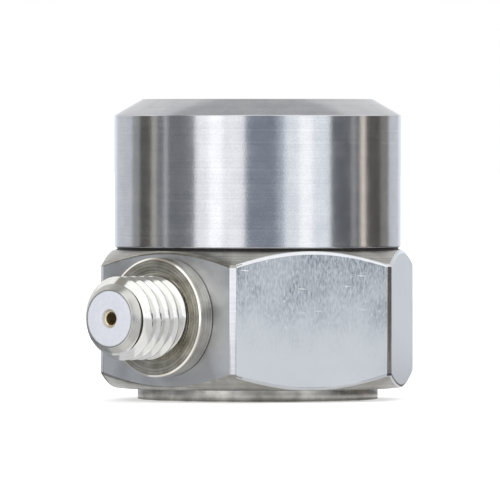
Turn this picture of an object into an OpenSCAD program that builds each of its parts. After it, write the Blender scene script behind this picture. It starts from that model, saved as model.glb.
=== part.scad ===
// Compact piezoelectric vibration sensor with a hexagonal base and a side connector.
// The origin is the centre of the mounting face. +Z is the sensing axis, and the
// connector points along -Y. Sizes are in millimetres.

/* [Base] */
// Width of the hexagon across its flats
hex_af = 17; // [16:0.5:19]
// Height of the hexagon
hex_h = 8.05; // [7.8:0.05:10]
// Turned off each corner of the hexagon, measured on its radius
corner_break = 0.115; // [0.05:0.005:0.2]
// How far the end chamfers start inside the hexagon's flats
chamfer_land = 0.14; // [0.02:0.02:0.4]
// Angle of the hexagon's end chamfers
chamfer_angle = 32; // [20:1:40]
// Diameter of the round mounting foot
foot_d = 14; // [12:0.5:15]
// Height of the mounting foot
foot_h = 0.7; // [0.5:0.1:1.2]
// Nominal diameter of the mounting thread
stud_d = 5; // [4:1:6]
// Pitch of the mounting thread
stud_pitch = 0.8; // [0.7:0.1:1]
// Depth of the tapped hole before its drill point
stud_depth = 4.4; // [3.6:0.1:4.8]
// How far the countersink opens past the mounting thread
stud_mouth = 0.1; // [0.05:0.05:0.2]
// Height of the spigot that locates the cap
spigot_h = 0.9; // [0.7:0.1:1.2]
// Break on the sharp edges of the turned parts
edge = 0.1; // [0.05:0.05:0.15]

/* [Cap] */
// How much smaller the cap is than the hexagon across its flats
cap_step = 0.3; // [0.2:0.1:0.8]
// Height of the cap
cap_h = 8.65; // [8:0.05:11]
// Wall of the cap
cap_wall = 1; // [0.8:0.1:1.2]
// Thickness of the cap's top
cap_top = 1.2; // [1:0.1:1.6]
// Width of the cap's top chamfer, seen from above
cap_chamfer = 1.65; // [1:0.05:1.9]
// Slope of the cap's top chamfer
cap_slope = 30; // [20:1:36]
// Break on the cap's lower edge
cap_break = 0.08; // [0.04:0.02:0.3]
// Height of the seam between cap and hexagon
seam_h = 0.1; // [0.05:0.05:0.2]
// Depth of the seam
seam_depth = 0.15; // [0.1:0.05:0.5]

/* [Connector] */
// Height of the connector's axis above the underside of the hexagon
conn_rise = 4.2; // [3.9:0.1:4.3]
// Distance from the flat to the connector's tip
conn_reach = 5.2; // [4.6:0.1:6.2]
// Major diameter of the connector's thread
conn_d = 4.826; // [4.7:0.002:4.95]
// Pitch of the connector's thread
conn_pitch = 0.79375; // [0.7:0.00625:0.9]
// Diameter of the plain nose in front of the thread
nose_d = 4; // [3.8:0.05:4.2]
// Length of that nose
nose_h = 0.48; // [0.44:0.02:0.7]
// Width of the flat rim around the insulator
nose_rim = 0.08; // [0.04:0.02:0.16]
// Length of the chamfer on that nose
nose_bevel = 0.4; // [0.3:0.02:0.42]
// Diameter of the flange ring on the flat
flange_d = 6.9; // [6.4:0.1:7]
// Height of the flange ring
flange_h = 1.1; // [0.9:0.1:1.4]
// Gap between the thread and the recess in the flange's face
recess_gap = 0.14; // [0.1:0.02:0.4]
// Depth of that recess
recess_h = 0.35; // [0.3:0.05:0.6]
// Diameter of the connector's shank inside the base
shank_d = 4.4; // [4:0.1:4.6]
// Depth of the shank's seat below the flat
seat_depth = 2.6; // [2.3:0.1:2.8]
// Diameter of the white insulator
insulator_d = 3.2; // [3:0.05:3.3]
// Diameter of the glass bead behind the insulator
bead_d = 2.2; // [1.9:0.1:2.6]
// Diameter of the passage behind the bead
passage_d = 1.8; // [1.6:0.1:1.8]
// Outer diameter of the contact
contact_d = 1.1; // [1.04:0.02:1.3]
// Bore of the contact
contact_bore_d = 0.8; // [0.7:0.02:0.86]
// Depth of the contact's bore
contact_bore_h = 3; // [2:0.1:3.2]
// Solid length behind the contact's bore
contact_web = 0.65; // [0.4:0.05:1]
// How far the contact lies below the insulator's face
contact_sink = 0.05; // [0.02:0.01:0.1]
// Lead-in at the mouth of the contact's bore
contact_mouth = 0.06; // [0.02:0.02:0.08]
// Diameter of the contact's tail
tail_d = 0.7; // [0.6:0.05:0.8]

/* [Sensing element] */
// Distance from the axis to each flat of the centre post
post_flat = 2; // [1.8:0.1:2.2]
// How far the post's flats reach past the sides of the plates
post_margin = 0.2; // [0.1:0.05:0.3]
// How far the post stands above the element
post_proud = 0.3; // [0.1:0.1:0.5]
// Thickness of a piezoelectric plate
piezo_t = 0.8; // [0.6:0.1:1]
// Width of a piezoelectric plate
piezo_w = 4.4; // [4:0.1:4.6]
// Gap between neighbouring masses
mass_gap = 0.3; // [0.2:0.05:0.5]
// Wall of the clamping ring
ring_t = 0.45; // [0.3:0.05:0.6]
// Height of the clamping ring
ring_h = 2.4; // [1.6:0.1:3]
// Radial gap between the clamping ring and the cap
element_gap = 0.8; // [0.6:0.1:1]
// Gap between the parts on the board and the underside of the element
element_rise = 0.25; // [0.15:0.05:0.5]
// Gap between the element and the inside of the cap's top
head_gap = 0.9; // [0.7:0.1:1.2]

/* [Electronics] */
// Thickness of the circuit board
board_t = 0.6; // [0.4:0.1:0.8]
// Thickness of the insulating film under the board
film_t = 0.1; // [0.05:0.05:0.2]
// Radial gap between the board and the cap
board_gap = 0.45; // [0.3:0.05:0.6]
// Radial gap between the board and the post
post_gap = 0.3; // [0.2:0.05:0.4]
// Length of the amplifier chip
chip_l = 1.8; // [1.4:0.1:2.2]
// Width of the amplifier chip
chip_w = 1.4; // [1:0.1:1.8]
// Height of the amplifier chip
chip_h = 0.5; // [0.4:0.05:0.7]
// Length of a resistor
resistor_l = 1; // [0.8:0.1:1.6]
// Width of a resistor
resistor_w = 0.5; // [0.3:0.1:0.8]
// Height of a resistor
resistor_h = 0.35; // [0.25:0.05:0.5]
// Length of the capacitor
capacitor_l = 1.2; // [0.8:0.1:1.6]
// Width of the capacitor
capacitor_w = 0.6; // [0.4:0.1:0.8]
// Height of the capacitor
capacitor_h = 0.5; // [0.3:0.05:0.7]
// Diameter of the output wire
lead_d = 0.3; // [0.2:0.05:0.35]
// Bend radius of the output wire
lead_bend = 0.5; // [0.4:0.05:0.6]
// Straight length of the output wire behind the contact's tail
lead_run = 0.2; // [0.1:0.05:0.3]
// Distance of the output wire from the board's inner edge
lead_inset = 0.9; // [0.7:0.1:1.1]
// Radial gap around the output wire in its hole
lead_gap = 0.2; // [0.1:0.05:0.2]
// Diameter of the element's wire
element_lead_d = 0.15; // [0.1:0.05:0.25]
// Outer diameter of the insulating sleeve
sleeve_d = 1; // [0.9:0.05:1.1]
// Radial gap between the sleeve and its wire
sleeve_gap = 0.1; // [0.05:0.05:0.15]
// Height of the sleeve's seat above the connector's axis
sleeve_rise = 2; // [1.5:0.1:2.5]
// Diameter of the ground pin
pin_d = 0.5; // [0.4:0.05:0.6]
// Depth of the ground pin in the base
pin_depth = 1.2; // [0.8:0.1:1.5]
// How far the ground pin stands above the board
pin_proud = 0.2; // [0.1:0.05:0.3]
// Radial gap between the ground pin and the film
pin_gap = 0.1; // [0.05:0.05:0.2]

/* [Hidden] */
$fn = 96;

// Radial play of a pressed or bonded fit, and how far a cut runs past its face
fit = 0.01;
past = 0.5;

// Bearings on the board, and the drill's point angle
chip_bearing = 90;
gate_bearing = 35;
bias_bearing = 145;
capacitor_bearing = 200;
pin_bearing = -35;
element_lead_bearing = 60;
drill_point = 118;

steel = "#b9bcc1";
bright_steel = "#c9c9c6";
ptfe = "#dde0ec";
gold = "#d8b45c";
glass = "#5d7f86";
board_green = "#2f6b43";
film_amber = "#b8752a";
chip_black = "#26272a";
resistor_black = "#33323a";
capacitor_tan = "#b79a78";
copper = "#b87549";
piezo_grey = "#8f8a80";
tungsten = "#74767b";

// Heights
hex_z = foot_h;
hex_top = hex_z + hex_h;
rim_z = hex_top + seam_h;
deck_z = rim_z + spigot_h;
board_z = deck_z + film_t;
board_top = board_z + board_t;
element_z = board_top + max(chip_h, capacitor_h, resistor_h, pin_proud) + element_rise;
top_z = rim_z + cap_h;
ceiling_z = top_z - cap_top;
element_top = ceiling_z - head_gap;
element_h = element_top - element_z;
ring_z = element_z + (element_h - ring_h) / 2;
post_top = element_top + post_proud;
conn_z = hex_z + conn_rise;
sleeve_z = conn_z + sleeve_rise;

// Radii about the sensing axis
corner_r = hex_af / 2 / cos(30) - corner_break;
chamfer_r = hex_af / 2 - chamfer_land;
chamfer_drop = (corner_r - chamfer_r) * tan(chamfer_angle);
cap_r = (hex_af - cap_step) / 2;
bore_r = cap_r - cap_wall;
land_r = cap_r - seam_depth;
ring_r = bore_r - element_gap;
mass_r = ring_r - ring_t - fit;
mass_flat = post_flat + piezo_t;
post_r = norm([post_flat, piezo_w / 2 + post_margin]);
board_r = bore_r - board_gap;
board_hole_r = post_r + post_gap;
board_mid = (board_r + board_hole_r) / 2;
wire_r = board_hole_r + lead_inset;
stud_r = (stud_d - stud_pitch) / 2;

// Stations along the connector, measured outward from the flat
recess_u = flange_h - recess_h;
thread_u = conn_reach - nose_h;
turns = floor((thread_u - recess_u) / conn_pitch);
contact_u = conn_reach - contact_sink;
step_u = contact_u - contact_bore_h - contact_web;
wire_u = wire_r - hex_af / 2;
tail_u = wire_u + lead_bend + lead_run;

// Radii about the connector's axis, with the depth and flats of a unified thread
thread_r = conn_d / 2;
root_r = thread_r - 0.6134 * conn_pitch;
recess_r = max(thread_r, shank_d / 2) + recess_gap;

// Places what is drawn along +Z on the connector's axis, starting at the flat
module on_connector() {
    translate([0, -hex_af / 2, conn_z]) rotate([90, 0, 0]) children();
}

// Places what is drawn at the origin on the board's mid circle, at a height
module on_mid_circle(bearing, z) {
    rotate(bearing) translate([board_mid, 0, z]) rotate(90) children();
}

// A block that stands on the origin
module block(length, width, height) {
    translate([-length / 2, -width / 2, 0]) cube([length, width, height]);
}

// A tube that stands on the origin
module tube(outer_r, inner_r, height) {
    difference() {
        cylinder(r = outer_r, h = height);
        translate([0, 0, -past]) cylinder(r = inner_r, h = height + 2 * past);
    }
}

// The hexagon, its corners turned round and its ends chamfered
module hexagon() {
    intersection() {
        translate([0, 0, hex_z]) cylinder(r = hex_af / 2 / cos(30), h = hex_h, $fn = 6);
        rotate_extrude()
            polygon([
                [0, hex_z],
                [chamfer_r, hex_z],
                [corner_r, hex_z + chamfer_drop],
                [corner_r, hex_top - chamfer_drop],
                [chamfer_r, hex_top],
                [0, hex_top]
            ]);
    }
}

// The foot, up into the hexagon
module foot() {
    rotate_extrude()
        polygon([
            [0, 0],
            [foot_d / 2 - edge, 0],
            [foot_d / 2, edge],
            [foot_d / 2, hex_z + past],
            [0, hex_z + past]
        ]);
}

// The tapped mounting hole with its countersink and drill point
module stud_hole() {
    mouth_r = stud_d / 2 + stud_mouth;
    rotate_extrude()
        polygon([
            [0, -past],
            [mouth_r, -past],
            [mouth_r, 0],
            [stud_r, (mouth_r - stud_r) * tan(30)],
            [stud_r, stud_depth],
            [0, stud_depth + stud_r / tan(drill_point / 2)]
        ]);
}

// The centre post: three flats with their corners turned round
module post() {
    height = post_top - deck_z + past;
    translate([0, 0, deck_z - past])
        intersection() {
            rotate(30) cylinder(r = 2 * post_flat, h = height, $fn = 3);
            cylinder(r = post_r, h = height);
        }
}

// The connector's seat, and the way from it up to the board for the output wire
module wire_way() {
    on_connector() {
        translate([0, 0, -seat_depth]) cylinder(r = shank_d / 2 + fit, h = seat_depth + past);
        translate([0, 0, wire_u - sleeve_d / 2]) cylinder(d = passage_d, h = -wire_u);
    }
    translate([0, -wire_r, conn_z]) cylinder(r = lead_d / 2 + lead_gap, h = deck_z - conn_z + past);
    translate([0, -wire_r, sleeve_z]) cylinder(d = sleeve_d, h = deck_z - sleeve_z + past);
}

module hex_base() {
    color(steel)
        difference() {
            union() {
                hexagon();
                foot();
                translate([0, 0, hex_top - past]) cylinder(r = land_r, h = seam_h + past);
                translate([0, 0, rim_z - past]) cylinder(r = bore_r - fit, h = spigot_h + past);
                post();
            }
            stud_hole();
            wire_way();
            on_mid_circle(pin_bearing, deck_z - pin_depth)
                cylinder(r = pin_d / 2 + fit, h = pin_depth + past);
        }
}

module cap() {
    drop = cap_chamfer * tan(cap_slope);
    color(steel)
        rotate_extrude()
            polygon([
                [bore_r, rim_z],
                [cap_r - cap_break, rim_z],
                [cap_r, rim_z + cap_break],
                [cap_r, top_z - drop],
                [cap_r - cap_chamfer, top_z],
                [0, top_z],
                [0, ceiling_z],
                [bore_r, ceiling_z]
            ]);
}

module connector_flange() {
    color(steel)
        on_connector()
            rotate_extrude()
                polygon([
                    [shank_d / 2 + fit, 0],
                    [flange_d / 2, 0],
                    [flange_d / 2, flange_h - edge],
                    [flange_d / 2 - edge, flange_h],
                    [recess_r, flange_h],
                    [recess_r - recess_gap / 2, recess_u],
                    [shank_d / 2 + fit, recess_u]
                ]);
}

// One turn of the thread's section, from its front edge at u
function turn_section(u) = [
    [root_r, u],
    [thread_r, u - 0.3125 * conn_pitch],
    [thread_r, u - 0.4375 * conn_pitch],
    [root_r, u - 0.75 * conn_pitch]
];

module connector_shell() {
    bore = insulator_d / 2;
    nose = [
        [bore, conn_reach],
        [bore + nose_rim, conn_reach],
        [nose_d / 2, conn_reach - nose_bevel],
        [nose_d / 2, thread_u]
    ];
    thread = [for (i = [0 : turns - 1]) each turn_section(thread_u - i * conn_pitch)];
    shank = [
        [root_r, recess_u],
        [shank_d / 2, recess_u],
        [shank_d / 2, -seat_depth],
        [bead_d / 2, -seat_depth],
        [bead_d / 2, step_u],
        [bore, step_u]
    ];
    color(bright_steel) on_connector() rotate_extrude() polygon(concat(nose, thread, shank));
}

module connector_insulator() {
    color(ptfe)
        on_connector()
            translate([0, 0, step_u])
                tube(insulator_d / 2 - fit, contact_d / 2 + fit, conn_reach - step_u);
}

module contact_socket() {
    bore = contact_bore_d / 2;
    color(gold)
        on_connector()
            rotate_extrude()
                polygon([
                    [bore + contact_mouth, contact_u],
                    [contact_d / 2, contact_u],
                    [contact_d / 2, step_u],
                    [tail_d / 2, step_u],
                    [tail_d / 2, tail_u],
                    [0, tail_u],
                    [0, contact_u - contact_bore_h],
                    [bore, contact_u - contact_bore_h],
                    [bore, contact_u - contact_mouth]
                ]);
}

module rear_bead() {
    color(glass)
        on_connector()
            translate([0, 0, -seat_depth]) tube(bead_d / 2 - fit, tail_d / 2 + fit, seat_depth + step_u);
}

module lead_sleeve() {
    color(ptfe)
        translate([0, -wire_r, sleeve_z])
            tube(sleeve_d / 2 - fit, lead_d / 2 + sleeve_gap, deck_z - sleeve_z);
}

// From the contact's tail inward, round a quarter bend and up to the board
module output_lead() {
    bend_y = -wire_r - lead_bend;
    bend_z = conn_z + lead_bend;
    color(copper) {
        translate([0, bend_y, conn_z]) rotate([90, 0, 0]) cylinder(d = lead_d, h = lead_run);
        translate([0, bend_y, bend_z])
            rotate([0, 90, 0]) rotate_extrude(angle = 90) translate([lead_bend, 0]) circle(d = lead_d);
        translate([0, -wire_r, bend_z]) cylinder(d = lead_d, h = board_z - bend_z);
    }
}

module board_film() {
    color(film_amber)
        difference() {
            translate([0, 0, deck_z]) tube(board_r, board_hole_r, film_t);
            translate([0, -wire_r, deck_z - past]) cylinder(d = sleeve_d, h = film_t + 2 * past);
            on_mid_circle(pin_bearing, deck_z - past)
                cylinder(r = pin_d / 2 + pin_gap, h = film_t + 2 * past);
        }
}

module circuit_board() {
    color(board_green)
        difference() {
            translate([0, 0, board_z]) tube(board_r, board_hole_r, board_t);
            on_mid_circle(pin_bearing, board_z - past) cylinder(r = pin_d / 2 + fit, h = board_t + 2 * past);
        }
}

module amplifier_chip() {
    color(chip_black) on_mid_circle(chip_bearing, board_top) block(chip_l, chip_w, chip_h);
}

module gate_resistor() {
    color(resistor_black) on_mid_circle(gate_bearing, board_top) block(resistor_l, resistor_w, resistor_h);
}

module bias_resistor() {
    color(resistor_black) on_mid_circle(bias_bearing, board_top) block(resistor_l, resistor_w, resistor_h);
}

module range_capacitor() {
    color(capacitor_tan)
        on_mid_circle(capacitor_bearing, board_top) block(capacitor_l, capacitor_w, capacitor_h);
}

module ground_pin() {
    height = pin_depth + board_top - deck_z + pin_proud;
    color(gold) on_mid_circle(pin_bearing, deck_z - pin_depth) cylinder(d = pin_d, h = height);
}

module element_lead() {
    color(copper)
        rotate(element_lead_bearing)
            translate([ring_r - ring_t / 2, 0, board_top])
                cylinder(d = element_lead_d, h = ring_z - board_top);
}

module piezo_plate(i) {
    color(piezo_grey)
        rotate(120 * i) translate([0, post_flat + piezo_t / 2, element_z]) block(piezo_w, piezo_t, element_h);
}

// A round segment outside its plate, its sides clear of the two neighbours
module seismic_mass(i) {
    far = 2 * mass_r;
    function side(y) = y * tan(60) - mass_gap / 2 / cos(60);
    color(tungsten)
        rotate(120 * i)
            translate([0, 0, element_z])
                intersection() {
                    cylinder(r = mass_r, h = element_h);
                    linear_extrude(element_h)
                        polygon([
                            [-side(mass_flat), mass_flat],
                            [side(mass_flat), mass_flat],
                            [side(far), far],
                            [-side(far), far]
                        ]);
                }
}

module clamping_ring() {
    color(bright_steel) translate([0, 0, ring_z]) tube(ring_r, ring_r - ring_t, ring_h);
}

hex_base();
cap();
connector_flange();
connector_shell();
connector_insulator();
contact_socket();
rear_bead();
lead_sleeve();
output_lead();
board_film();
circuit_board();
amplifier_chip();
gate_resistor();
bias_resistor();
range_capacitor();
ground_pin();
element_lead();
for (i = [1 : 3]) piezo_plate(i);
for (i = [1 : 3]) seismic_mass(i);
clamping_ring();
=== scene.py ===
from math import cos, pi, radians, sin, tan

import bpy
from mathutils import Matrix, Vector


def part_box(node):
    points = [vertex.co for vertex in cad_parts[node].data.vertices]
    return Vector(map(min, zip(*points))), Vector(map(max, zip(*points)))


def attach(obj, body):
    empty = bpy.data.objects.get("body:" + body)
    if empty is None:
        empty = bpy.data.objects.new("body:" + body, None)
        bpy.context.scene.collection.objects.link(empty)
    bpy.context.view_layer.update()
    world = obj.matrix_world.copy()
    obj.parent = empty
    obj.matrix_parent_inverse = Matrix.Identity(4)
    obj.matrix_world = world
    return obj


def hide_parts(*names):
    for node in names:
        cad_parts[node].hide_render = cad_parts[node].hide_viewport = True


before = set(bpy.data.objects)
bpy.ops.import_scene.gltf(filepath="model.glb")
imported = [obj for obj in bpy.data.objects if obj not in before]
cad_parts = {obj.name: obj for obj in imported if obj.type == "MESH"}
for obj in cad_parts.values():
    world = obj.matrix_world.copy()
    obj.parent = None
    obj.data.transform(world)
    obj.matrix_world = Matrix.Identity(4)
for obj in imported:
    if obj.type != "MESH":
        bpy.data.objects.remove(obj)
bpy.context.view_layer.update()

# Pieces are modelled in millimetres and shrunk to metres when they are finished.
mm = 0.001
perMm = 1000
turnSteps = 256
joinGap = 1e-5
weldGap = 0.0006
past = 1  # how far a cutter runs past the face it cuts
noiseSpan = (0.3, 0.7)  # where most values of a noise lie


def nodeBox(node):
    low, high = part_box(node)
    return low / mm, high / mm


def clearSelection():
    if bpy.context.object and bpy.context.object.mode != "OBJECT":
        bpy.ops.object.mode_set(mode="OBJECT")
    bpy.ops.object.select_all(action="DESELECT")


def pickPiece(piece):
    clearSelection()
    piece.select_set(True)
    bpy.context.view_layer.objects.active = piece


def applyModifier(piece, kind, **settings):
    pickPiece(piece)
    modifier = piece.modifiers.new(kind.lower(), kind)
    for name, value in settings.items():
        setattr(modifier, name, value)
    bpy.ops.object.modifier_apply(modifier=modifier.name)


def closeMesh():
    bpy.ops.mesh.select_all(action="SELECT")
    bpy.ops.mesh.remove_doubles(threshold=joinGap)
    bpy.ops.mesh.normals_make_consistent(inside=False)
    bpy.ops.object.mode_set(mode="OBJECT")


# One point is put at the start of a section and extruded along it, in the XZ plane.
def drawSection(name, section):
    clearSelection()
    bpy.ops.mesh.primitive_plane_add(size=1)
    piece = bpy.context.object
    piece.name = name
    bpy.ops.object.mode_set(mode="EDIT")
    bpy.ops.mesh.select_all(action="SELECT")
    bpy.ops.mesh.merge(type="CENTER")
    radius, height = section[0]
    bpy.ops.transform.translate(value=(radius, 0, height))
    for nextRadius, nextHeight in section[1:]:
        step = (nextRadius - radius, 0, nextHeight - height)
        bpy.ops.mesh.extrude_region_move(TRANSFORM_OT_translate={"value": step})
        radius, height = nextRadius, nextHeight
    bpy.ops.mesh.select_all(action="SELECT")
    return piece


# A section spun round Z, as on a lathe. A closed section ends where it starts.
def turnSection(name, section, steps=turnSteps):
    piece = drawSection(name, section)
    bpy.ops.mesh.spin(steps=steps, angle=2 * pi, center=(0, 0, 0), axis=(0, 0, 1))
    closeMesh()
    return piece


# A bar with a 60 degree thread along Z, cut square at both ends. The crests and roots are a little rounded.
def threadBar(name, crestRadius, rootRadius, pitch, low, high, steps=144):
    rise = crestRadius - rootRadius
    soft = 0.08
    startBack = 1.4
    spareTurns = 4
    turnGap = 1e-4
    turn = [(0, 0), (0, 0.21), (soft, 0.27), (1 - soft, 0.54), (1, 0.58), (1, 0.67), (1 - soft, 0.71),
            (soft, 0.98), (0, 1)]
    section = [(rootRadius + rise * up, low + pitch * (along - startBack)) for up, along in turn]
    piece = drawSection(name, section)
    bpy.ops.object.mode_set(mode="OBJECT")
    turns = int((high - low) / pitch) + spareTurns
    applyModifier(piece, "SCREW", axis="Z", angle=2 * pi, screw_offset=pitch, iterations=turns, steps=steps,
                  render_steps=steps, use_merge_vertices=True, merge_threshold=turnGap)
    bpy.ops.object.mode_set(mode="EDIT")
    bpy.ops.mesh.select_all(action="SELECT")
    bpy.ops.mesh.bisect(plane_co=(0, 0, low), plane_no=(0, 0, 1), use_fill=True, clear_inner=True)
    bpy.ops.mesh.select_all(action="SELECT")
    bpy.ops.mesh.bisect(plane_co=(0, 0, high), plane_no=(0, 0, 1), use_fill=True, clear_outer=True)
    closeMesh()
    return piece


# Joins, cuts or trims a piece with another one, which is used up.
def combine(piece, tool, operation):
    applyModifier(piece, "BOOLEAN", object=tool, operation=operation, solver="EXACT")
    bpy.data.objects.remove(tool)


# Breaks the edges that are sharper than an angle, as a deburring tool does.
def breakEdges(piece, width, segments=3, angle=20, clamp=True):
    applyModifier(piece, "BEVEL", width=width, segments=segments, limit_method="ANGLE",
                  angle_limit=radians(angle), use_clamp_overlap=clamp, harden_normals=False)


def placePiece(piece, location=(0, 0, 0), rotation=(0, 0, 0)):
    pickPiece(piece)
    piece.location = location
    piece.rotation_euler = rotation
    bpy.ops.object.transform_apply(location=True, rotation=True, scale=True)


# Welds the slivers that cuts leave, shrinks a piece to metres, smooths it and lets it stand for its CAD node.
def finishPiece(piece, node, materials, smoothAngle=32):
    pickPiece(piece)
    bpy.ops.object.mode_set(mode="EDIT")
    bpy.ops.mesh.select_all(action="SELECT")
    bpy.ops.mesh.remove_doubles(threshold=weldGap)
    bpy.ops.mesh.dissolve_degenerate(threshold=weldGap)
    bpy.ops.object.mode_set(mode="OBJECT")
    piece.scale = (mm, mm, mm)
    bpy.ops.object.transform_apply(location=True, rotation=True, scale=True)
    bpy.ops.object.shade_smooth_by_angle(angle=radians(smoothAngle))
    applyModifier(piece, "WEIGHTED_NORMAL", mode="FACE_AREA", keep_sharp=True)
    for material in materials:
        piece.data.materials.append(material)
    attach(piece, "root")
    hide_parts(node)
    print("piece", piece.name, len(piece.data.polygons), "faces")


# From a hex colour to the linear values that shaders take.
def toLinear(hexColour):
    parts = [int(hexColour[i:i + 2], 16) / 255 for i in (1, 3, 5)]
    return [p / 12.92 if p <= 0.04045 else ((p + 0.055) / 1.055) ** 2.4 for p in parts] + [1]


def addNode(tree, kind, inputs=None, **settings):
    node = tree.nodes.new("ShaderNode" + kind)
    for name, value in settings.items():
        setattr(node, name, value)
    for socket, value in (inputs or {}).items():
        if isinstance(value, bpy.types.NodeSocket):
            tree.links.new(value, node.inputs[socket])
        else:
            node.inputs[socket].default_value = value
    return node


def startMaterial(name):
    material = bpy.data.materials.new(name)
    material.use_nodes = True
    tree = material.node_tree
    tree.nodes.clear()
    shader = addNode(tree, "BsdfPrincipled")
    addNode(tree, "OutputMaterial", {"Surface": shader.outputs["BSDF"]})
    coords = addNode(tree, "TexCoord").outputs["Object"]
    return material, tree, shader, coords


# Short forms of the nodes that finishes are made of. Each gives back the socket to go on from.
def calcNode(tree, operation, first, second):
    return addNode(tree, "Math", {0: first, 1: second}, operation=operation).outputs[0]


def remapNode(tree, value, low=0, high=1, toLow=0, toHigh=1, **settings):
    span = {"Value": value, "From Min": low, "From Max": high, "To Min": toLow, "To Max": toHigh}
    return addNode(tree, "MapRange", span, **settings).outputs[0]


# The size of the grain is in millimetres, and object coordinates are in metres.
def noiseNode(tree, vector, size, detail, roughness=0.5):
    grain = {"Vector": vector, "Scale": perMm / size, "Detail": detail, "Roughness": roughness}
    return addNode(tree, "TexNoise", grain).outputs["Fac"]


def spotNode(tree, vector, size):
    cells = {"Vector": vector, "Scale": perMm / size, "Randomness": 1.0}
    return addNode(tree, "TexVoronoi", cells).outputs["Distance"]


def mixNode(tree, factor, first, second):
    sides = {"Factor": factor, "A": first, "B": second}
    return addNode(tree, "Mix", sides, data_type="RGBA").outputs["Result"]


# Joins the colour, roughness and fine relief of a finish to its shader.
def joinFinish(tree, shader, tint, rough, height, relief, metallic):
    reliefDepth = 0.01
    bump = addNode(tree, "Bump", {"Height": height, "Strength": relief, "Distance": reliefDepth * mm})
    tree.links.new(tint, shader.inputs["Base Color"])
    tree.links.new(rough, shader.inputs["Roughness"])
    tree.links.new(bump.outputs[0], shader.inputs["Normal"])
    shader.inputs["Metallic"].default_value = metallic


print("stage 1: camera and studio")

view = {"azimuth": 38.4, "distance": 600, "height": 16.2, "aimHeight": 8.7, "aimLeft": 0.45,
        "frameWidth": 29.15, "sensorWidth": 36}

turn = radians(view["azimuth"])
toCamera = Vector((sin(turn), -cos(turn), 0))
toRight = Vector((cos(turn), sin(turn), 0))
aim = -toRight * view["aimLeft"] + Vector((0, 0, view["aimHeight"]))
cameraData = bpy.data.cameras.new("photoCamera")
cameraData.sensor_width = view["sensorWidth"]
cameraData.lens = cameraData.sensor_width * view["distance"] / view["frameWidth"]
camera = bpy.data.objects.new("photoCamera", cameraData)
bpy.context.scene.collection.objects.link(camera)
camera.location = (toCamera * view["distance"] + Vector((0, 0, view["height"]))) * mm
camera.rotation_euler = (aim * mm - camera.location).to_track_quat("-Z", "Y").to_euler()
bpy.context.scene.camera = camera
bpy.context.scene.view_settings.view_transform = "Standard"

# White all round for the camera and for what the metal reflects.
world = bpy.data.worlds.new("whiteRoom")
bpy.context.scene.world = world
world.use_nodes = True
world.node_tree.nodes["Background"].inputs["Color"].default_value = toLinear("#FFFFFF")
world.node_tree.nodes["Background"].inputs["Strength"].default_value = 1

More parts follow.
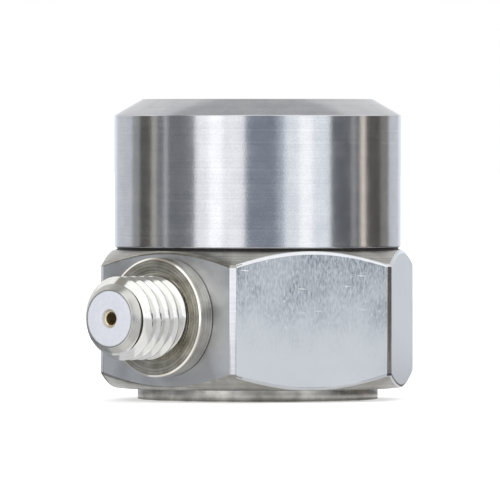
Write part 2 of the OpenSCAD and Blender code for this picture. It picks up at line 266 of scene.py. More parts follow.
# Soft panels and dark cards stand in two rings round the object, a low one at its own height and a high
# one above. Angles run from the camera's direction, minus to the left, and tone is brightness, with 1 as
# white. The aprons carry the low ring on across the floor, where the lower faces mirror them.
studio = {
    "ringRadius": 350,
    "lowTop": 60,
    "highTop": 420,
    "apronRadius": 10,
    "apronMiddle": 60,
    "apronLift": 0.02,
    "apronStep": 0.002,
    "apronShare": 0.58,
    "panelStep": 2,
    "fewestSteps": 4,
    "floorSize": 4,
    "floorTone": "#F2F2F2",
    "floorGlow": 0.5,
    "lowRing": {
        "leftSoftbox": {"from": -51, "to": -10, "tone": 1.3, "tint": "#FDFCFF"},
        "leftTube": {"from": -39, "to": -28, "tone": 1.65, "tint": "#FFFFFF", "nearer": 4},
        "cameraGap": {"from": -10, "to": 15, "tone": 0.38, "tint": "#D2DFF4",
                      "apron": {"tone": 0.85, "tint": "#F4F4F6"}},
        "cameraFade": {"from": 15, "to": 21, "tone": 0.62, "tint": "#E2ECFA",
                       "apron": {"tone": 0.8, "tint": "#F6F6F8"}},
        "rightSoftbox": {"from": 21, "to": 60, "tone": 1.2, "tint": "#F6FAFF"},
        "rightTube": {"from": 33, "to": 44, "tone": 1.5, "tint": "#FFFFFF", "nearer": 4},
        "rightFlag": {"from": 60, "to": 90, "tone": 0.16, "tint": "#DCE2EC"},
        "rightRim": {"from": 80, "to": 85, "tone": 0.42, "tint": "#FFFFFF", "nearer": 4},
        "rightStrip": {"from": 90, "to": 96, "tone": 1.1, "tint": "#FFF2E6"},
        "rightEdge": {"from": 96, "to": 116, "tone": 0.1, "tint": "#FFF4EA"},
        "rightFade": {"from": 116, "to": 130, "tone": 0.3, "tint": "#FFF8F0"},
        "backWall": {"from": 130, "to": 240, "tone": 0.78, "tint": "#F6F9FF"},
        "backCentre": {"from": 156, "to": 204, "tone": 1.05, "tint": "#F0F6FF", "nearer": 4},
        "leftFade": {"from": 240, "to": 251, "tone": 0.4, "tint": "#FFFFFF"},
        "leftEdge": {"from": 251, "to": 266, "tone": 0.1, "tint": "#FFF8EC"},
        "leftStrip": {"from": 266, "to": 272, "tone": 0.6, "tint": "#FFFAEE"},
        "leftFlag": {"from": 272, "to": 309, "tone": 0.28, "tint": "#E6EAF2", "apron": {"tone": 0.45}},
        "leftRim": {"from": 280, "to": 283, "tone": 0.8, "tint": "#FFFFFF", "nearer": 4},
    },
    "highRing": {
        "leftBank": {"from": -60, "to": -8, "tone": 1.3, "tint": "#FFFFFF"},
        "cameraTop": {"from": -8, "to": 15, "tone": 0.6, "tint": "#FFFFFF"},
        "rightBank": {"from": 15, "to": 76, "tone": 1.3, "tint": "#FFFFFF"},
        "rightTop": {"from": 76, "to": 128, "tone": 1.1, "tint": "#FFFFFF"},
        "backTop": {"from": 128, "to": 232, "tone": 0.8, "tint": "#FFFFFF"},
        "leftTop": {"from": 232, "to": 268, "tone": 1.1, "tint": "#FFFFFF"},
        "leftDark": {"from": 268, "to": 300, "tone": 0.35, "tint": "#FFFAF2"},
    },
    "floorShade": {
        "footShade": {"from": 0, "to": 360, "tone": 0.25, "tint": "#FFFFFF", "inner": 7.02, "outer": 7.9},
        "skirtShade": {"from": 0, "to": 360, "tone": 0.75, "tint": "#FFFFFF", "inner": 7.9, "outer": 10},
    },
    "ceiling": {
        "overhead": {"from": -55, "to": 100, "tone": 1.3, "tint": "#FFFFFF"},
        "overheadLeft": {"from": 260, "to": 305, "tone": 0.35, "tint": "#FFFFFF"},
        "ceilingBack": {"from": 100, "to": 260, "tone": 0.55, "tint": "#FFFFFF"},
    },
}


def glowMaterial(name, tone, tint):
    material = bpy.data.materials.new(name)
    material.use_nodes = True
    tree = material.node_tree
    tree.nodes.clear()
    glow = addNode(tree, "Emission", {"Color": toLinear(tint), "Strength": tone})
    addNode(tree, "OutputMaterial", {"Surface": glow.outputs["Emission"]})
    return material


# A strip of panel, drawn in section and swept round Z between two angles.
def hangPanel(name, section, panel):
    sweep = panel["to"] - panel["from"]
    piece = drawSection(name, section)
    steps = max(studio["fewestSteps"], int(sweep / studio["panelStep"]))
    bpy.ops.mesh.spin(steps=steps, angle=-radians(sweep), center=(0, 0, 0), axis=(0, 0, 1))
    closeMesh()
    placePiece(piece, rotation=(0, 0, radians(view["azimuth"] - 90 + panel["from"])))
    piece.scale = (mm, mm, mm)
    bpy.ops.object.transform_apply(location=True, rotation=True, scale=True)
    piece.data.materials.append(glowMaterial(name + "Glow", panel["tone"], panel["tint"]))
    piece.visible_camera = False
    piece.visible_shadow = False
    return piece


ring = studio["ringRadius"]
for name, panel in studio["lowRing"].items():
    nearer = panel.get("nearer", 0)
    distance = ring - nearer
    hangPanel(name, [(distance, 0), (distance, studio["lowTop"])], panel)
    lift = studio["apronLift"] + studio["apronStep"] * nearer
    dimmed = {**panel, "tone": studio["apronShare"] * panel["tone"], **panel.get("apron", {})}
    near = hangPanel(name + "Apron", [(studio["apronRadius"], lift), (studio["apronMiddle"], lift)], dimmed)
    far = hangPanel(name + "FarApron", [(studio["apronMiddle"], lift), (distance, lift)], panel)
    near.visible_diffuse = False
    far.visible_diffuse = False
for name, panel in studio["floorShade"].items():
    lift = studio["apronLift"]
    shade = hangPanel(name, [(panel["inner"], lift), (panel["outer"], lift)], panel)
    shade.visible_diffuse = False
for name, panel in studio["highRing"].items():
    hangPanel(name, [(ring, studio["lowTop"]), (ring, studio["highTop"])], panel)
for name, panel in studio["ceiling"].items():
    hangPanel(name, [(0, studio["highTop"]), (ring, studio["highTop"])], panel)

# Matt white card: a soft shadow, and a little glow so that it reads as paper white. From below it is
# clear, so that the underside of the part can be looked at.
clearSelection()
bpy.ops.mesh.primitive_plane_add(size=studio["floorSize"], location=(0, 0, -studio["apronLift"] * mm))
floor = bpy.context.object
floor.name = "studioFloor"
floorCard = bpy.data.materials.new("mattWhiteCard")
floorCard.use_nodes = True
tree = floorCard.node_tree
tree.nodes.clear()
rays = addNode(tree, "LightPath").outputs
seen = calcNode(tree, "MAXIMUM", rays["Is Camera Ray"], rays["Is Glossy Ray"])
seen = calcNode(tree, "MAXIMUM", seen, rays["Is Transmission Ray"])
seen = calcNode(tree, "MULTIPLY", seen, studio["floorGlow"])
glow = addNode(tree, "Emission", {"Color": toLinear("#FFFFFF"), "Strength": seen})
card = addNode(tree, "BsdfDiffuse", {"Color": toLinear(studio["floorTone"])})
both = addNode(tree, "AddShader", {0: glow.outputs[0], 1: card.outputs[0]})
below = addNode(tree, "NewGeometry").outputs["Backfacing"]
clear = addNode(tree, "BsdfTransparent")
both = addNode(tree, "MixShader", {0: below, 1: both.outputs[0], 2: clear.outputs[0]})
addNode(tree, "OutputMaterial", {"Surface": both.outputs[0]})
floor.data.materials.append(floorCard)

print("stage 2: materials")

turning = {"waver": 0.006, "ringDetail": 3.0, "ringRoughness": 0.6, "cloud": 1.2, "fine": 0.09,
           "dotShare": 6, "shadeFrom": 0.75, "shadeTo": 1.25, "roughFrom": 0.6, "roughTo": 1.4,
           "roughSwing": 0.02, "drawnOut": 0.25}


# Stainless bar turned on a lathe: bright, with fine rings that draw reflections out across them.
def turnedStainless(name, colour, darker, ringWidth, roughness, axis="Z", centre=(0, 0, 0), anisotropy=0.6,
                    relief=0.12, speckle=0.0):
    material, tree, shader, coords = startMaterial(name)
    place = addNode(tree, "Mapping", {"Vector": coords, "Location": [-c * mm for c in centre]}).outputs[0]
    across = {"Z": (1, 1, 0), "Y": (1, 0, 1)}[axis]
    spoke = addNode(tree, "VectorMath", {0: place, 1: across}, operation="MULTIPLY").outputs[0]
    radius = addNode(tree, "VectorMath", {0: spoke}, operation="LENGTH").outputs["Value"]
    along = addNode(tree, "SeparateXYZ", {"Vector": place}).outputs[axis]
    section = addNode(tree, "CombineXYZ", {"X": radius, "Y": along}).outputs[0]
    tool = addNode(tree, "VectorMath", {0: place, 1: [turning["waver"]] * 3, 2: section},
                   operation="MULTIPLY_ADD").outputs[0]
    rings = noiseNode(tree, tool, ringWidth, turning["ringDetail"], turning["ringRoughness"])
    cloud = noiseNode(tree, place, turning["cloud"], 4.0)
    fine = noiseNode(tree, place, turning["fine"], 2.0)
    swing = speckle / turning["dotShare"]
    dots = remapNode(tree, fine, toLow=-swing, toHigh=swing)
    mixed = calcNode(tree, "ADD", rings, cloud)
    mixed = calcNode(tree, "ADD", mixed, dots)
    shade = remapNode(tree, mixed, turning["shadeFrom"], turning["shadeTo"])
    tint = mixNode(tree, shade, toLinear(darker), toLinear(colour))
    rough = remapNode(tree, mixed, turning["roughFrom"], turning["roughTo"],
                      roughness - turning["roughSwing"], roughness + turning["roughSwing"])
    height = addNode(tree, "Math", {0: fine, 1: speckle, 2: rings}, operation="MULTIPLY_ADD").outputs[0]
    joinFinish(tree, shader, tint, rough, height, relief, 1)
    tangent = addNode(tree, "Tangent", direction_type="RADIAL", axis=axis)
    tree.links.new(tangent.outputs[0], shader.inputs["Tangent"])
    shader.inputs["Anisotropic"].default_value = anisotropy
    shader.inputs["Anisotropic Rotation"].default_value = turning["drawnOut"]
    return material


wear = {
    "cloud": 3.0, "sway": 1.2, "stainFrom": 0.6, "stainTo": 0.4,
    "facingTurn": 30, "facingFrom": 8.2, "facingTo": 8.4, "otherFlats": 0.15,
    "markStretch": 0.3, "mark": 0.085,
    "patch": 2.2, "patchFrom": 0.4, "patchTo": 0.58, "patchLeast": 0.55,
    "nickTilt": (0.25, 0.3, 0), "nickStretch": (0.55, 0.55, 5),
    "nickGlint": 1.5, "nickEdge": 0.12, "nickHeart": 0.07, "nickShine": 0.8,
    "grit": 0.7, "gritEdge": 0.1, "gritHeart": 0.05, "gritShine": 0.7,
    "dulling": 0.12, "grain": 0.06, "relief": 0.25,
}


# Stainless hexagon bar, cold drawn and rubbed: a soft satin with short marks along the bar. On the flat that
# faces the camera it is duller and darker towards the top, with a few nicks painted bright as glints; the
# other flats take a lighter tone, which is painted light.
def drawnStainless(name, litFlatTone, colour, rubbed, roughness, rubLow, rubHigh, mottle=0.0):
    material, tree, shader, coords = startMaterial(name)
    height = addNode(tree, "SeparateXYZ", {"Vector": coords}).outputs["Z"]
    cloud = noiseNode(tree, coords, wear["cloud"], 3.0)
    sway = remapNode(tree, cloud, *noiseSpan, -wear["sway"] * mm, wear["sway"] * mm)
    level = calcNode(tree, "ADD", height, sway)
    rub = remapNode(tree, level, rubLow * mm, rubHigh * mm, interpolation_type="SMOOTHSTEP")
    # The flat that faces the camera keeps its own tone; the other flats take the lighter tone, as painted
    # light.
    turned = addNode(tree, "Mapping", {"Vector": coords, "Rotation": (0, 0, radians(wear["facingTurn"]))})
    side = addNode(tree, "SeparateXYZ", {"Vector": turned.outputs[0]}).outputs["X"]
    facingFlat = remapNode(tree, side, wear["facingFrom"] * mm, wear["facingTo"] * mm, wear["otherFlats"])
    rub = calcNode(tree, "MULTIPLY", rub, facingFlat)
    stretch = addNode(tree, "Mapping", {"Vector": coords, "Scale": (1, 1, wear["markStretch"])}).outputs[0]
    marks = noiseNode(tree, stretch, wear["mark"], 3.0)
    cuts = remapNode(tree, marks, *noiseSpan)
    patch = noiseNode(tree, coords, wear["patch"], 2.0)
    patch = remapNode(tree, patch, wear["patchFrom"], wear["patchTo"], wear["patchLeast"])
    worn = calcNode(tree, "SUBTRACT", 1, cuts)
    worn = calcNode(tree, "MULTIPLY", worn, patch)
    cuts = calcNode(tree, "SUBTRACT", 1, worn)
    plain = mixNode(tree, cuts, toLinear(rubbed), toLinear(colour))
    litFlats = mixNode(tree, facingFlat, toLinear(litFlatTone), toLinear(colour))
    dull = mixNode(tree, rub, litFlats, plain)
    # Nicks and grit are real marks, painted near white as glints: a painted highlight.
    askew = addNode(tree, "Mapping", {"Vector": coords, "Rotation": wear["nickTilt"]}).outputs[0]
    dash = addNode(tree, "Mapping", {"Vector": askew, "Scale": wear["nickStretch"]}).outputs[0]
    spots = spotNode(tree, dash, wear["nickGlint"])
    nickGlint = remapNode(tree, spots, wear["nickEdge"], wear["nickHeart"], toHigh=wear["nickShine"])
    grit = spotNode(tree, coords, wear["grit"])
    dot = remapNode(tree, grit, wear["gritEdge"], wear["gritHeart"], toHigh=wear["gritShine"])
    nickGlint = calcNode(tree, "MAXIMUM", nickGlint, dot)
    nickGlint = calcNode(tree, "MULTIPLY", nickGlint, rub)
    stain = remapNode(tree, cloud, wear["stainFrom"], wear["stainTo"], 1 - mottle)
    dull = addNode(tree, "VectorMath", {0: dull, 1: stain}, operation="MULTIPLY").outputs[0]
    tint = mixNode(tree, nickGlint, dull, toLinear("#FFFFFF"))
    rough = remapNode(tree, rub, toLow=roughness, toHigh=roughness + wear["dulling"])
    grain = remapNode(tree, marks, toLow=-wear["grain"], toHigh=wear["grain"])
    rough = calcNode(tree, "ADD", rough, grain)
    depth = calcNode(tree, "SUBTRACT", marks, nickGlint)
    joinFinish(tree, shader, tint, rough, depth, wear["relief"], 1)
    return material


plainGrain = {"roughSwing": 0.06, "relief": 0.1}


# A plain finish of two close colours in fine grain, for the seam, insulator, contact and parts inside.
def grainFinish(name, colour, darker, grain, roughness, metallic=0.0):
    material, tree, shader, coords = startMaterial(name)
    noise = noiseNode(tree, coords, grain, 4.0)
    shade = remapNode(tree, noise, *noiseSpan)
    tint = mixNode(tree, shade, toLinear(darker), toLinear(colour))
    swing = plainGrain["roughSwing"]
    rough = remapNode(tree, noise, toLow=roughness - swing, toHigh=roughness + swing)
    joinFinish(tree, shader, tint, rough, noise, plainGrain["relief"], metallic)
    return material


ringLow, ringHigh = nodeBox("connector_flange")
connectorZ = (ringLow.z + ringHigh.z) / 2
onAxis = {"axis": "Y", "centre": (0, 0, connectorZ)}
capSteel = turnedStainless("turnedStainlessCap", "#D3D4D7", "#C4C6CA", 0.07, 0.18, relief=0.06, speckle=2.8)
baseTurned = turnedStainless("turnedStainlessBase", "#B6B5B0", "#918F88", 0.14, 0.24, relief=0.2)
baseEdges = turnedStainless("burnishedStainlessEdges", "#DADCDF", "#CFD1D5", 0.1, 0.16)
footSteel = turnedStainless("facedStainlessFoot", "#DAD8D2", "#8E8B84", 0.25, 0.18)
# Painted light: the flats other than the one facing the camera, and the connector's flat, are given lighter
# tones for the light they catch.
baseFlats = drawnStainless("drawnStainlessFlats", "#F4F7FB", "#CED2D7", "#6C7884", 0.4, 1.5, 8.6)
connectorFlat = drawnStainless("litDrawnStainlessFlat", "#E4E7EA", "#DADDE0", "#7F8A96", 0.34, 1.5, 8.6,
                               mottle=0.3)
# Painted shade: a darker steel for the cap's lowest edge, standing in for the shade of the seam below it.
seamShadeEdge = turnedStainless("seamShadedStainlessEdge", "#9A9A9C", "#808082", 0.07, 0.3)
# Painted shade: the dark steel of the seam's groove and of the ring's foot stands in for the shade in them.
seamShade = grainFinish("seamShadeSteel", "#524F4B", "#383633", 0.2, 0.55, 1.0)
# The ring's steels carry a warm brown tint, a painted reflection of warm surroundings; the face's copy also
# has darker turning rings.
ringSide = turnedStainless("turnedStainlessRing", "#D4D2CC", "#A6A298", 0.16, 0.22, **onAxis,
                           anisotropy=0.6, relief=0.35)
ringFront = turnedStainless("fineTurnedStainlessFace", "#DAD7CB", "#8F8B7F", 0.13, 0.23, **onAxis,
                            anisotropy=0.85, relief=0.3)
# Painted highlight: a near-white copy of the ring's steel for its rim.
ringRimHighlight = turnedStainless("highlitStainlessRim", "#FAF7F0", "#EAE5DA", 0.1, 0.16, **onAxis,
                          anisotropy=0.2, relief=0.05)
nickel = turnedStainless("nickelPlatedThread", "#ECECEA", "#DADAD6", 0.06, 0.12, **onAxis,
                         anisotropy=0.2)
nickelNose = turnedStainless("nickelPlatedNose", "#D2D2CE", "#BAB9B4", 0.06, 0.28, **onAxis,
                             anisotropy=0.4)
# Painted shade: a dark olive copy of the thread's nickel for its roots, standing in for shade in the grooves.
nickelRootShade = turnedStainless("shadedNickelRoots", "#5E5A50", "#46433B", 0.06, 0.35, **onAxis,
                              anisotropy=0.2)
ptfe = grainFinish("machinedPtfe", "#EDF0F8", "#E6E9F3", 0.2, 0.45)
# The gold is paled almost to white: gold plating with a painted highlight.
gold = grainFinish("goldPlatedBrass", "#FAF1DA", "#F1E3C2", 0.12, 0.3, 1.0)

print("stage 3: cap")

capBox = {"chamfer": 1.65, "chamferSlope": 30, "lowerBreak": 0.08, "wall": 1.0, "top": 1.2, "edge": 0.035,
          "shadedShare": 0.7}

low, high = nodeBox("cap")
capRadius = high.x
capBore = capRadius - capBox["wall"]
chamferDrop = capBox["chamfer"] * tan(radians(capBox["chamferSlope"]))
capPiece = turnSection("sensorCap", [
    (0, high.z),
    (capRadius - capBox["chamfer"], high.z),
    (capRadius, high.z - chamferDrop),
    (capRadius, low.z + capBox["lowerBreak"]),
    (capRadius - capBox["lowerBreak"], low.z),
    (capBore, low.z),
    (capBore, high.z - capBox["top"]),
    (0, high.z - capBox["top"]),
], steps=360)
breakEdges(capPiece, capBox["edge"])
# The lowest band of the cap's outer break is painted darker, as shade from the seam below it.
for face in capPiece.data.polygons:
    outside = face.center.to_2d().length > capRadius - 2 * capBox["lowerBreak"]
    nearSeam = face.center.z < low.z + capBox["shadedShare"] * capBox["lowerBreak"]
    face.material_index = 1 if outside and nearSeam else 0
finishPiece(capPiece, "cap", [capSteel, seamShadeEdge])

print("stage 4: hexagon base")

base = {
    "footHeight": 0.7, "footRadius": 7.0, "edge": 0.05, "footTop": 0.4, "landFoot": 0.6,
    "hexHeight": 8.05, "barLength": 40, "chamferLand": 0.14, "chamferSlope": 32, "chamferBlend": 0.05,
    "landRadius": 8.2, "seam": 0.1, "spigotRadius": 7.34, "spigot": 0.9,
    "postFlat": 2.0, "postRadius": 3.124, "postBlank": 30,
    "studDiameter": 5.0, "studPitch": 0.8, "studMouth": 0.1, "mouthSlope": 30, "studDepth": 4.4,
    "tapDepth": 4.0, "tapRunOut": 0.05, "rootClear": 0.04, "drillPoint": 118,
    "seatRadius": 2.21, "seatDepth": 2.6, "passageRadius": 0.9, "passageDepth": 4.676,
    "wireHole": 0.35, "play": 0.01, "worn": 0.13, "turnedEdge": 0.03, "cornerEdge": 0.05,
}

low, high = nodeBox("hex_base")
flat = high.y
corner = high.x
hexLow = base["footHeight"]
hexHigh = hexLow + base["hexHeight"]
seamHigh = hexHigh + base["seam"]
deck = seamHigh + base["spigot"]
chamferRadius = flat - base["chamferLand"]
slope = radians(base["chamferSlope"])
drop = (corner - chamferRadius) * tan(slope)
blend = base["chamferBlend"]
blendOut = chamferRadius + blend * cos(slope)
blendRise = blend * sin(slope)
basePiece = turnSection("hexBase", [
    (0, hexLow),
    (chamferRadius - blend, hexLow),
    (blendOut, hexLow + blendRise),
    (corner, hexLow + drop),
    (corner, hexHigh - drop),
    (blendOut, hexHigh - blendRise),
    (chamferRadius - blend, hexHigh),
    (0, hexHigh),
], steps=720)
clearSelection()
bpy.ops.mesh.primitive_cylinder_add(vertices=6, radius=flat / cos(pi / 6), depth=base["barLength"],
                                    rotation=(0, 0, pi / 6))
hexBar = bpy.context.object
bpy.ops.object.transform_apply(location=True, rotation=True, scale=True)
combine(basePiece, hexBar, "INTERSECT")
breakEdges(basePiece, base["worn"], angle=45, clamp=False)
breakEdges(basePiece, base["cornerEdge"], angle=25)
turned = turnSection("turnedEnds", [
    (0, 0),
    (base["footRadius"] - base["edge"], 0),
    (base["footRadius"], base["edge"]),
    (base["footRadius"], hexLow + base["footTop"]),
    (base["landRadius"], hexLow + base["landFoot"]),
    (base["landRadius"], seamHigh),
    (base["spigotRadius"], seamHigh),
    (base["spigotRadius"], deck),
    (0, deck),
], steps=360)
breakEdges(turned, base["turnedEdge"])
combine(basePiece, turned, "UNION")

clearSelection()
bpy.ops.mesh.primitive_cylinder_add(vertices=3, radius=2 * base["postFlat"], depth=high.z - deck + past,
                                    location=(0, 0, (high.z + deck - past) / 2), rotation=(0, 0, pi))
post = bpy.context.object
bpy.ops.object.transform_apply(location=True, rotation=True, scale=True)
postBlank = turnSection("postBlank", [
    (0, 0),
    (base["postRadius"], 0),
    (base["postRadius"], base["postBlank"]),
    (0, base["postBlank"]),
])
combine(post, postBlank, "INTERSECT")
combine(basePiece, post, "UNION")

# The tapped hole: drill and countersink first, then the tap.
studRadius = base["studDiameter"] / 2
drillRadius = studRadius - base["studPitch"] / 2
mouth = studRadius + base["studMouth"]
boredRadius = drillRadius - base["rootClear"]
freeRadius = drillRadius + base["rootClear"] / 2
mouthDepth = (mouth - drillRadius + base["rootClear"]) * tan(radians(base["mouthSlope"]))
tip = base["studDepth"] + drillRadius / tan(radians(base["drillPoint"] / 2))
drill = turnSection("studDrill", [
    (0, -past),
    (mouth, -past),
    (mouth, 0),
    (boredRadius, mouthDepth),
    (boredRadius, base["tapDepth"] - 2 * base["tapRunOut"]),
    (freeRadius, base["tapDepth"] - base["tapRunOut"]),
    (freeRadius, base["studDepth"]),
    (0, tip),
])
combine(basePiece, drill, "DIFFERENCE")
tap = threadBar("studTap", studRadius, drillRadius, base["studPitch"], -past, base["tapDepth"])
combine(basePiece, tap, "DIFFERENCE")

# The seat of the connector, the passage behind it and the holes for the wire and the pin.
seat = turnSection("connectorSeat", [
    (0, past),
    (base["seatRadius"], past),
    (base["seatRadius"], -base["seatDepth"]),
    (base["passageRadius"], -base["seatDepth"]),
    (base["passageRadius"], -base["passageDepth"]),
    (0, -base["passageDepth"]),
])
onFlat = (0, -flat, connectorZ)
outward = (pi / 2, 0, 0)
placePiece(seat, onFlat, outward)
combine(basePiece, seat, "DIFFERENCE")
sleeveLow, sleeveHigh = nodeBox("lead_sleeve")
sleeveHole = (sleeveHigh.x - sleeveLow.x) / 2 + base["play"]
wireWay = turnSection("wireWay", [
    (0, connectorZ),
    (base["wireHole"], connectorZ),
    (base["wireHole"], sleeveLow.z),
    (sleeveHole, sleeveLow.z),
    (sleeveHole, deck + past),
    (0, deck + past),
], steps=64)
placePiece(wireWay, (0, (sleeveLow.y + sleeveHigh.y) / 2, 0))
combine(basePiece, wireWay, "DIFFERENCE")
pinLow, pinHigh = nodeBox("ground_pin")
pinHole = (pinHigh.x - pinLow.x) / 2 + base["play"]
pinWay = turnSection("pinWay", [
    (0, pinLow.z),
    (pinHole, pinLow.z),
    (pinHole, deck + past),
    (0, deck + past),
], steps=64)
placePiece(pinWay, ((pinLow.x + pinHigh.x) / 2, (pinLow.y + pinHigh.y) / 2, 0))
combine(basePiece, pinWay, "DIFFERENCE")

# The six flats keep the drawn finish of the bar, their broken edges and the corners are burnished, the seam
# is painted dark as shade, and the rest is as it was turned. Faces are told apart by where they lie and face.
facing = {"hair": 0.005, "rim": 0.3, "upright": 0.02, "onFlat": 0.03, "toConnector": -0.9,
          "offChamfer": 0.01, "besideConnector": -0.55, "tilted": 0.1, "seamHair": 0.01}
turnedSlot, flatSlot, edgeSlot, seamSlot, footSlot, connectorSlot = range(6)

for face in basePiece.data.polygons:
    spread = face.center.to_2d().length
    level = face.center.z
    tilt = abs(face.normal.z)
    onHex = hexLow + facing["hair"] < level < hexHigh - facing["hair"] and spread > flat - facing["rim"]
    upright = tilt < facing["upright"]
    if onHex and upright and abs(face.center.dot(face.normal) - flat) < facing["onFlat"]:
        face.material_index = connectorSlot if face.normal.y < facing["toConnector"] else flatSlot
    elif onHex and abs(tilt - cos(slope)) > facing["offChamfer"]:
        besideConnector = face.normal.y < facing["besideConnector"] and tilt > facing["tilted"]
        face.material_index = turnedSlot if besideConnector else edgeSlot
    elif hexHigh - facing["seamHair"] < level < seamHigh + facing["seamHair"]:
        face.material_index = seamSlot
    elif level < hexLow - facing["hair"] and spread > base["footRadius"] - facing["rim"]:
        face.material_index = footSlot
finishPiece(basePiece, "hex_base",
            [baseTurned, baseFlats, baseEdges, seamShade, footSteel, connectorFlat], smoothAngle=25)

print("stage 5: connector")

ringBoss = {"height": 1.1, "rim": 0.12, "rimDrop": 0.05, "edge": 0.04, "recessRadius": 2.553,
            "recessDepth": 0.03, "recessDraft": 0.07, "bore": 2.21, "foot": 0.03, "footDepth": 0.06,
            "worn": 0.02, "faceSpread": 0.4, "faceTilt": -0.98, "rimTilt": -0.8}

bossRadius = ringHigh.x
recessFloor = ringBoss["height"] - ringBoss["recessDepth"]
rimFoot = ringBoss["height"] - ringBoss["rimDrop"]
rimRadius = bossRadius - ringBoss["edge"] / 2
boss = turnSection("connectorRing", [
    (ringBoss["bore"], 0),
    (bossRadius - ringBoss["footDepth"], 0),
    (bossRadius - ringBoss["footDepth"], ringBoss["foot"]),
    (bossRadius, ringBoss["foot"]),
    (bossRadius, rimFoot - ringBoss["edge"]),
    (rimRadius, rimFoot),
    (rimRadius - ringBoss["rim"], ringBoss["height"]),
    (ringBoss["recessRadius"], ringBoss["height"]),
    (ringBoss["recessRadius"] - ringBoss["recessDraft"], recessFloor),
    (ringBoss["bore"], recessFloor),
    (ringBoss["bore"], 0),
])
breakEdges(boss, ringBoss["worn"])
placePiece(boss, onFlat, outward)
for face in boss.data.polygons:
    inRing = (face.center - Vector(onFlat)).length < bossRadius + ringBoss["faceSpread"]
    # The face takes the warm-tinted copy with darker rings, a painted reflection.
    if inRing and face.normal.y < ringBoss["faceTilt"]:
        face.material_index = 1
    # The rim takes the near-white copy, a painted highlight.
    elif inRing and face.normal.y < ringBoss["rimTilt"]:
        face.material_index = 2
    # The ring's foot, where it meets the flat, takes the seam's dark steel: painted shade.
    elif face.center.y > -flat - ringBoss["foot"] - ringBoss["worn"]:
        face.material_index = 3
finishPiece(boss, "connector_flange", [ringSide, ringFront, ringRimHighlight, seamShade],
            smoothAngle=15)

shell = {"noseRadius": 2.0, "noseLength": 0.48, "noseRim": 0.08, "noseBevel": 0.4, "neck": 0.1,
         "pitch": 0.79375, "threadDepth": 0.487, "coreDepth": 0.05, "coreOverlap": 0.02,
         "crestClear": 0.01, "leadIn": 0.3, "leadOut": 0.06, "spare": 0.2, "shankRadius": 2.2,
         "boreRadius": 1.6, "beadRadius": 1.1, "boreStep": 1.5, "relief": 0.01, "runOut": 0.05,
         "worn": 0.03, "boreHair": 0.01, "noseHair": 0.02, "rootHair": 0.03}

low, high = nodeBox("connector_shell")
reach = -low.y - flat
shankDepth = high.y + flat
crest = high.x
root = crest - shell["threadDepth"]
core = root - shell["coreDepth"]
threadFront = reach - shell["noseLength"]
shellPiece = turnSection("connectorShell", [
    (0, reach),
    (shell["boreRadius"] + shell["noseRim"], reach),
    (shell["noseRadius"], reach - shell["noseBevel"]),
    (shell["noseRadius"], threadFront),
    (core, threadFront - shell["neck"]),
    (core, recessFloor),
    (shell["shankRadius"], recessFloor),
    (shell["shankRadius"], -shankDepth),
    (0, -shankDepth),
])
breakEdges(shellPiece, shell["worn"])
thread = threadBar("connectorThread", crest, root, shell["pitch"], recessFloor - shell["spare"],
                   threadFront + shell["spare"])
threadFoot = recessFloor + shell["relief"]
threadTip = threadFront + shell["leadOut"]
innerEnd = core - shell["coreOverlap"]
outerEnd = crest + shell["crestClear"]
threadEnds = turnSection("threadEnds", [
    (0, threadFoot),
    (innerEnd, threadFoot),
    (outerEnd, threadFoot + shell["runOut"]),
    (outerEnd, threadFront - shell["leadIn"]),
    (innerEnd, threadTip),
    (0, threadTip),
])
combine(thread, threadEnds, "INTERSECT")
combine(shellPiece, thread, "UNION")
bores = turnSection("shellBores", [
    (0, reach + past),
    (shell["boreRadius"], reach + past),
    (shell["boreRadius"], shell["boreStep"]),
    (shell["beadRadius"], shell["boreStep"]),
    (shell["beadRadius"], -shankDepth - past),
    (0, -shankDepth - past),
])
combine(shellPiece, bores, "DIFFERENCE")
for face in shellPiece.data.polygons:
    spread = face.center.to_2d().length
    outside = spread > shell["boreRadius"] + shell["boreHair"]
    inRoots = outside and spread < root + shell["rootHair"]
    if outside and face.center.z > threadFront + shell["noseHair"]:
        face.material_index = 1
    # Faces in the thread's roots take the dark copy, painted shade.
    elif inRoots and recessFloor < face.center.z < threadFront:
        face.material_index = 2
placePiece(shellPiece, onFlat, outward)
finishPiece(shellPiece, "connector_shell", [nickel, nickelNose, nickelRootShade])

insulator = {"bore": 0.554, "edge": 0.01}

low, high = nodeBox("connector_insulator")
front = -low.y - flat
back = -high.y - flat
insulatorPiece = turnSection("connectorInsulator", [
    (insulator["bore"], back),
    (high.x, back),
    (high.x, front),
    (insulator["bore"], front),
    (insulator["bore"], back),
])
breakEdges(insulatorPiece, insulator["edge"])
placePiece(insulatorPiece, onFlat, outward)
finishPiece(insulatorPiece, "connector_insulator", [ptfe])

contact = {"sink": 0.1, "bore": 0.37, "boreDepth": 2.9, "mouth": 0.05, "tailRadius": 0.35, "shoulder": 1.5,
           "edge": 0.02}

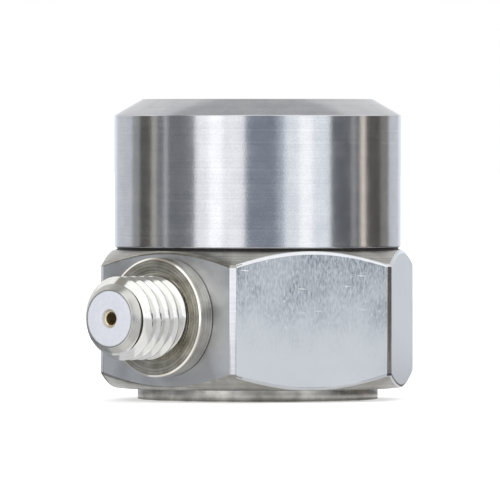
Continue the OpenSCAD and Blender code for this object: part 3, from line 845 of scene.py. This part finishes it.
low, high = nodeBox("contact_socket")
front = -low.y - flat - contact["sink"]
back = -high.y - flat
contactPiece = turnSection("contactSocket", [
    (contact["bore"] + contact["mouth"], front),
    (high.x, front),
    (high.x, contact["shoulder"]),
    (contact["tailRadius"], contact["shoulder"]),
    (contact["tailRadius"], back),
    (0, back),
    (0, front - contact["boreDepth"]),
    (contact["bore"], front - contact["boreDepth"]),
    (contact["bore"], front - contact["mouth"]),
    (contact["bore"] + contact["mouth"], front),
], steps=128)
breakEdges(contactPiece, contact["edge"])
placePiece(contactPiece, onFlat, outward)
finishPiece(contactPiece, "contact_socket", [gold])

print("stage 6: parts inside")

# The seal's glass is glossy, epoxy, laminate and ceramic are dull, and metal and film lie between.
sealGlass = grainFinish("firedSealGlass", "#56767E", "#486870", 0.4, 0.15)
tinnedCopper = grainFinish("drawnTinnedCopper", "#CFA586", "#BE9070", 0.2, 0.3, 1.0)
polyimide = grainFinish("castPolyimideFilm", "#C98A34", "#B97A28", 0.5, 0.3)
laminate = grainFinish("pressedGlassLaminate", "#2F6B45", "#275A3A", 0.15, 0.5)
epoxy = grainFinish("mouldedBlackEpoxy", "#2A2B2E", "#222326", 0.1, 0.55)
glaze = grainFinish("glazedAlumina", "#3A4048", "#2E343B", 0.1, 0.35)
titanate = grainFinish("firedBariumTitanate", "#B89B70", "#A98C61", 0.1, 0.5)
piezo = grainFinish("lappedPiezoCeramic", "#D6CBB2", "#C9BDA2", 0.15, 0.45)
tungsten = grainFinish("sinteredTungsten", "#8B8D90", "#7B7D81", 0.1, 0.4, 1.0)
ringSteel = turnedStainless("turnedClampSteel", "#C4C5C8", "#B0B2B6", 0.1, 0.25)
inside = {
    "rear_bead": sealGlass,
    "lead_sleeve": ptfe,
    "output_lead": tinnedCopper,
    "element_lead": tinnedCopper,
    "ground_pin": gold,
    "board_film": polyimide,
    "circuit_board": laminate,
    "amplifier_chip": epoxy,
    "gate_resistor": glaze,
    "bias_resistor": glaze,
    "range_capacitor": titanate,
    "clamping_ring": ringSteel,
}
for number in (1, 2, 3):
    inside["piezo_plate_" + str(number)] = piezo
    inside["seismic_mass_" + str(number)] = tungsten
for node, material in inside.items():
    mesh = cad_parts[node].data
    mesh.materials.clear()
    mesh.materials.append(material)
